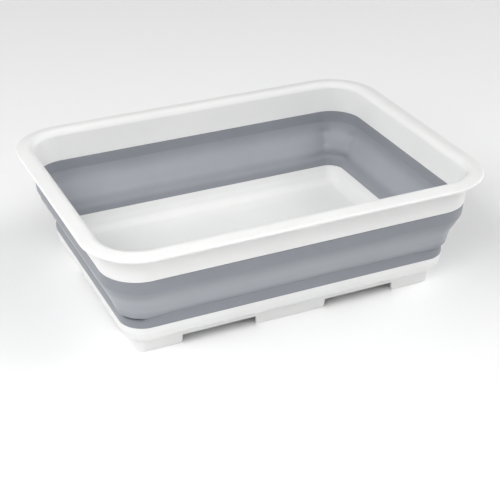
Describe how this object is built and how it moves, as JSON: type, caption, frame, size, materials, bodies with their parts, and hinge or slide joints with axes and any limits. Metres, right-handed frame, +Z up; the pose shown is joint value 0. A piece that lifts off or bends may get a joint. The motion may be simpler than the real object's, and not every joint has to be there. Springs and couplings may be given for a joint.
{
  "type": "collapsible storage crate",
  "caption": "Open rectangular tub with a broad rounded rim, a soft wall that folds flat and a shallow footed base tray.",
  "frame": {"origin": "centre of the footprint, on the surface that the feet stand on", "axes": "+X along the long side, +Y to the back long side, +Z up"},
  "size_m": [0.38, 0.2802, 0.1183],
  "materials": {
    "white_plastic": "satin moulded polypropylene",
    "grey_soft_plastic": "soft-touch matt thermoplastic rubber"
  },
  "bodies": {
    "base": {"base_tray": "white_plastic", "foot_front_left": "white_plastic", "foot_front_middle": "white_plastic", "foot_front_right": "white_plastic", "foot_back_left": "white_plastic", "foot_back_middle": "white_plastic", "foot_back_right": "white_plastic", "bellows_lower_bead": "grey_soft_plastic"},
    "web_lower": {"bellows_web_lower": "grey_soft_plastic"},
    "web_middle": {"bellows_web_middle": "grey_soft_plastic"},
    "web_upper": {"bellows_web_upper": "grey_soft_plastic"},
    "rim": {"bellows_upper_collar": "grey_soft_plastic", "rim_frame": "white_plastic"}
  },
  "joints": [
    {"name": "rim_collapse", "type": "slide", "parent": "base", "child": "rim", "axis": [0, 0, -1], "range_m": [0, 0.062]},
    {"name": "web_upper_fold", "type": "slide", "parent": "base", "child": "web_upper", "axis": [0, 0, -1], "range_m": [0, 0.053]},
    {"name": "web_middle_fold", "type": "slide", "parent": "base", "child": "web_middle", "axis": [0, 0, -1], "range_m": [0, 0.0375]},
    {"name": "web_lower_fold", "type": "slide", "parent": "base", "child": "web_lower", "axis": [0, 0, -1], "range_m": [0, 0.0125]}
  ],
  "couplings": [
    {"joint": "web_upper_fold", "follows": "rim_collapse", "ratio": 0.85},
    {"joint": "web_middle_fold", "follows": "rim_collapse", "ratio": 0.6},
    {"joint": "web_lower_fold", "follows": "rim_collapse", "ratio": 0.2}
  ]
}
